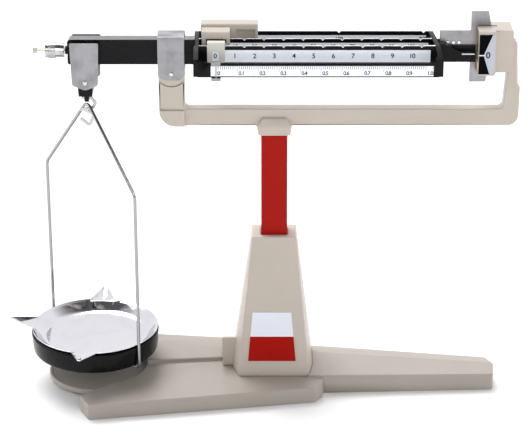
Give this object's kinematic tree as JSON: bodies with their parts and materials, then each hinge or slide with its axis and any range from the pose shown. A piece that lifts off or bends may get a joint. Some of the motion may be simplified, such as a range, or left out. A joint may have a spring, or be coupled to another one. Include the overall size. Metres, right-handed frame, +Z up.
{
  "type": "beam balance",
  "caption": "Laboratory beam balance with a hanging steel pan, four graduated beams with sliding riders and a magnetically damped pointer.",
  "frame": {"origin": "on the table, on the axis of the column", "axes": "+X along the beam to the dial, +Y to the back, +Z up"},
  "size_m": [0.4193, 0.1518, 0.3213],
  "materials": {
    "cream_paint": "gloss enamel on cast aluminium",
    "red_paint": "gloss enamel on steel tube",
    "black_paint": "semi-gloss enamel on cast aluminium",
    "holder_black": "black enamel on cast metal",
    "rider_ivory": "satin enamel",
    "label_plate": "printed sheet, left blank",
    "screw_steel": "plated",
    "knife_steel": "ground",
    "agate": "polished",
    "sheet_aluminium": "satin",
    "zinc_plate": "yellow zinc plated",
    "magnet_grey": "ground magnet alloy",
    "dial_silver": "printed satin sheet",
    "scale_white": "printed white sheet",
    "brass_plate": "nickel plated",
    "nut_metal": "knurled and plated",
    "hook_metal": "plated",
    "wire_chrome": "polished",
    "pan_steel": "polished stainless steel"
  },
  "bodies": {
    "root": {"base_casting": "cream_paint", "column": "cream_paint", "name_plate": "label_plate", "base_bolts": "screw_steel", "post": "red_paint", "post_screws": "screw_steel", "yoke": "cream_paint", "main_bearings": "agate", "bearing_cover": "sheet_aluminium", "cover_rivets": "screw_steel", "damper_housing": "cream_paint", "housing_screws": "screw_steel", "magnet_yoke": "zinc_plate", "magnets": "magnet_grey", "dial_plate": "dial_silver"},
    "beam": {"beam": "black_paint", "main_knife": "knife_steel", "pan_knife": "knife_steel", "scale_1g": "scale_white", "scale_10g": "scale_white", "scale_100g": "scale_white", "scale_200g": "scale_white", "vane": "sheet_aluminium", "vane_rivets": "screw_steel", "zero_screw": "brass_plate"},
    "zero_nut": {"zero_nut": "nut_metal"},
    "rider_200g": {"rider_200g": "cream_paint"},
    "rider_100g": {"rider_100g": "cream_paint"},
    "rider_10g": {"rider_10g": "rider_ivory"},
    "slider_1g": {"slider_1g": "sheet_aluminium"},
    "stirrup": {"stirrup_plates": "sheet_aluminium", "stirrup_bearings": "agate", "stirrup_screws": "screw_steel", "carrier": "black_paint"},
    "hook": {"double_hook": "hook_metal"},
    "hanger": {"bail": "wire_chrome", "pan_holder": "holder_black", "steel_pan": "pan_steel"}
  },
  "joints": [
    {"name": "beam_rock", "type": "hinge", "parent": "root", "child": "beam", "pos_m": [-0.082, 0, 0.291], "axis": [0, 1, 0], "range_deg": [-3, 3]},
    {"name": "stirrup_swing", "type": "hinge", "parent": "beam", "child": "stirrup", "pos_m": [-0.1505, 0, 0.291], "axis": [0, 1, 0], "range_deg": [-5, 5]},
    {"name": "hook_swing", "type": "hinge", "parent": "stirrup", "child": "hook", "pos_m": [-0.1505, 0, 0.2514], "axis": [1, 0, 0], "range_deg": [-4, 4]},
    {"name": "pan_swing", "type": "hinge", "parent": "hook", "child": "hanger", "pos_m": [-0.1505, 0, 0.2424], "axis": [0, 1, 0], "range_deg": [-3, 3]},
    {"name": "zero_turn", "type": "hinge", "parent": "beam", "child": "zero_nut", "pos_m": [-0.17, 0, 0.2907], "axis": [1, 0, 0], "continuous": true},
    {"name": "slide_200g", "type": "slide", "parent": "beam", "child": "rider_200g", "axis": [1, 0, 0], "range_m": [0, 0.136]},
    {"name": "slide_100g", "type": "slide", "parent": "beam", "child": "rider_100g", "axis": [1, 0, 0], "range_m": [0, 0.156]},
    {"name": "slide_10g", "type": "slide", "parent": "beam", "child": "rider_10g", "axis": [1, 0, 0], "range_m": [0, 0.156]},
    {"name": "slide_1g", "type": "slide", "parent": "beam", "child": "slider_1g", "axis": [1, 0, 0], "range_m": [0, 0.1649]}
  ]
}
